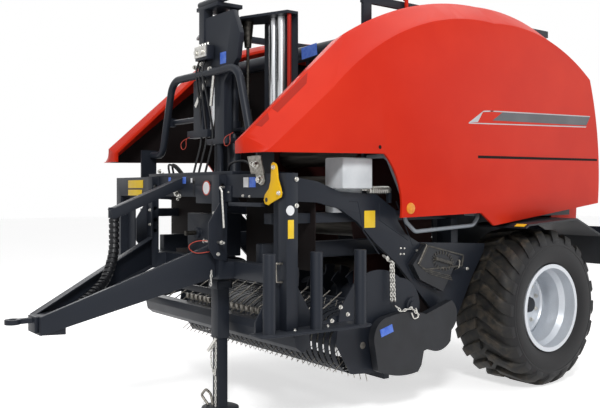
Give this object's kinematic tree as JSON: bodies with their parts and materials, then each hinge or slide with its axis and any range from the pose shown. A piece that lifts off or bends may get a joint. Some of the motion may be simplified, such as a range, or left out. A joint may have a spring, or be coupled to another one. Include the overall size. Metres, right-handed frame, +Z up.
{
  "type": "combined round baler and bale wrapper",
  "caption": "Towed round baler with film wrapping units above a drum chamber, hinged side covers, a tined pick-up and two wide tyres",
  "frame": {"origin": "on the ground, under the middle of the machine's length and width", "axes": "+X forward to the towing eye, +Y to the machine's left, +Z up"},
  "size_m": [5.2037, 2.858, 3.1448],
  "materials": {
    "black_paint": "satin powder coat, blue-black",
    "red_cover": "gloss red moulded cover",
    "red_paint": "gloss red paint",
    "grey_paint": "satin grey paint",
    "lamp_lens": "clear red lens",
    "rim_paint": "silver enamel",
    "tyre_rubber": "matt black rubber",
    "bare_steel": "zinc-plated steel",
    "spring_steel": "worn spring steel",
    "alu_roller": "anodised, long fine lines",
    "black_plastic": "moulded black",
    "white_tank": "translucent white tank",
    "hose_rubber": "spiral-wrapped rubber"
  },
  "bodies": {
    "root": {"axle": "black_paint", "main_frame": "black_paint", "chamber_plates": "red_paint", "front_rollers": "bare_steel", "side_frame_left": "black_paint", "side_frame_right": "black_paint", "top_cross_tube": "black_paint", "front_frame": "black_paint", "drawbar": "black_paint", "tow_eye": "black_paint", "jack_tube": "black_paint", "gearbox": "black_paint", "input_shaft": "bare_steel", "hose_arm": "black_paint", "hose": "hose_rubber", "rotor_bearings": "black_paint", "head_frame": "black_paint", "guard_hoop": "black_paint", "film_rack": "black_paint", "fender_left": "black_plastic", "fender_right": "black_plastic", "lamp_bracket_left": "black_paint", "lamp_bracket_right": "black_paint", "tail_lamp_left": "lamp_lens", "tail_lamp_right": "lamp_lens", "side_rail_left": "grey_paint", "side_rail_right": "grey_paint", "oil_box": "white_tank", "wheel_chocks": "black_plastic", "chock_holder": "black_paint"},
    "wheel_left": {"tyre_left": "tyre_rubber", "rim_left": "rim_paint"},
    "wheel_right": {"tyre_right": "tyre_rubber", "rim_right": "rim_paint"},
    "tailgate": {"rear_hood": "red_cover", "tailgate_frame": "black_paint", "rear_rollers": "bare_steel"},
    "cover_left": {"cover_left": "red_cover"},
    "cover_right": {"cover_right": "red_cover"},
    "jack_leg": {"jack_leg": "black_paint"},
    "feed_rotor": {"feed_rotor": "black_paint"},
    "pickup": {"pickup_frame": "black_paint", "pickup_shield_left": "black_plastic", "pickup_shield_right": "black_plastic"},
    "reel": {"pickup_reel": "spring_steel"},
    "wind_guard": {"wind_guard": "black_paint", "guard_arms": "black_paint"},
    "film_unit_left": {"unit_bracket_left": "black_paint", "film_bar_left": "red_paint"},
    "stretch_inner_left": {"stretch_roller_inner_left": "alu_roller"},
    "stretch_outer_left": {"stretch_roller_outer_left": "alu_roller"},
    "mandrel_left": {"film_mandrel_left": "bare_steel"},
    "film_unit_right": {"unit_bracket_right": "black_paint", "film_bar_right": "red_paint"},
    "stretch_inner_right": {"stretch_roller_inner_right": "alu_roller"},
    "stretch_outer_right": {"stretch_roller_outer_right": "alu_roller"},
    "mandrel_right": {"film_mandrel_right": "bare_steel"}
  },
  "joints": [
    {"name": "wheel_left_spin", "type": "hinge", "parent": "root", "child": "wheel_left", "pos_m": [-1.43, 1.128, 0.65], "axis": [0, 1, 0], "continuous": true},
    {"name": "wheel_right_spin", "type": "hinge", "parent": "root", "child": "wheel_right", "pos_m": [-1.43, -1.128, 0.65], "axis": [0, 1, 0], "continuous": true},
    {"name": "tailgate_open", "type": "hinge", "parent": "root", "child": "tailgate", "pos_m": [-0.67, 0, 2.48], "axis": [0, 1, 0], "range_deg": [0, 60]},
    {"name": "cover_left_lift", "type": "hinge", "parent": "root", "child": "cover_left", "pos_m": [-1.43, 0.945, 3.12], "axis": [1, 0, 0], "range_deg": [0, 55]},
    {"name": "cover_right_lift", "type": "hinge", "parent": "root", "child": "cover_right", "pos_m": [-1.43, -0.945, 3.12], "axis": [-1, 0, 0], "range_deg": [0, 55]},
    {"name": "jack_slide", "type": "slide", "parent": "root", "child": "jack_leg", "axis": [0, 0, 1], "range_m": [0, 0.34]},
    {"name": "feed_rotor_spin", "type": "hinge", "parent": "root", "child": "feed_rotor", "pos_m": [-0.05, 0, 0.76], "axis": [0, 1, 0], "continuous": true},
    {"name": "pickup_lower", "type": "hinge", "parent": "root", "child": "pickup", "pos_m": [-0.05, 0, 0.76], "axis": [0, 1, 0], "range_deg": [0, 20]},
    {"name": "reel_spin", "type": "hinge", "parent": "pickup", "child": "reel", "pos_m": [0.44, 0, 0.52], "axis": [0, 1, 0], "continuous": true},
    {"name": "wind_guard_lift", "type": "hinge", "parent": "pickup", "child": "wind_guard", "pos_m": [0.57, 0, 0.74], "axis": [0, -1, 0], "range_deg": [0, 20]},
    {"name": "film_unit_left_swing", "type": "hinge", "parent": "root", "child": "film_unit_left", "pos_m": [0.87, 0.1, 2.5], "axis": [0, 0, 1], "range_deg": [0, 45]},
    {"name": "stretch_inner_left_spin", "type": "hinge", "parent": "film_unit_left", "child": "stretch_inner_left", "pos_m": [0.72, 0.43, 2.5], "axis": [0, 0, 1], "continuous": true},
    {"name": "stretch_outer_left_spin", "type": "hinge", "parent": "film_unit_left", "child": "stretch_outer_left", "pos_m": [0.72, 0.53, 2.5], "axis": [0, 0, 1], "continuous": true},
    {"name": "mandrel_left_spin", "type": "hinge", "parent": "film_unit_left", "child": "mandrel_left", "pos_m": [0.82, 0.22, 2.5], "axis": [0, 0, 1], "continuous": true},
    {"name": "film_unit_right_swing", "type": "hinge", "parent": "root", "child": "film_unit_right", "pos_m": [0.87, -0.1, 2.5], "axis": [0, 0, -1], "range_deg": [0, 45]},
    {"name": "stretch_inner_right_spin", "type": "hinge", "parent": "film_unit_right", "child": "stretch_inner_right", "pos_m": [0.72, -0.43, 2.5], "axis": [0, 0, 1], "continuous": true},
    {"name": "stretch_outer_right_spin", "type": "hinge", "parent": "film_unit_right", "child": "stretch_outer_right", "pos_m": [0.72, -0.53, 2.5], "axis": [0, 0, 1], "continuous": true},
    {"name": "mandrel_right_spin", "type": "hinge", "parent": "film_unit_right", "child": "mandrel_right", "pos_m": [0.82, -0.22, 2.5], "axis": [0, 0, 1], "continuous": true}
  ]
}
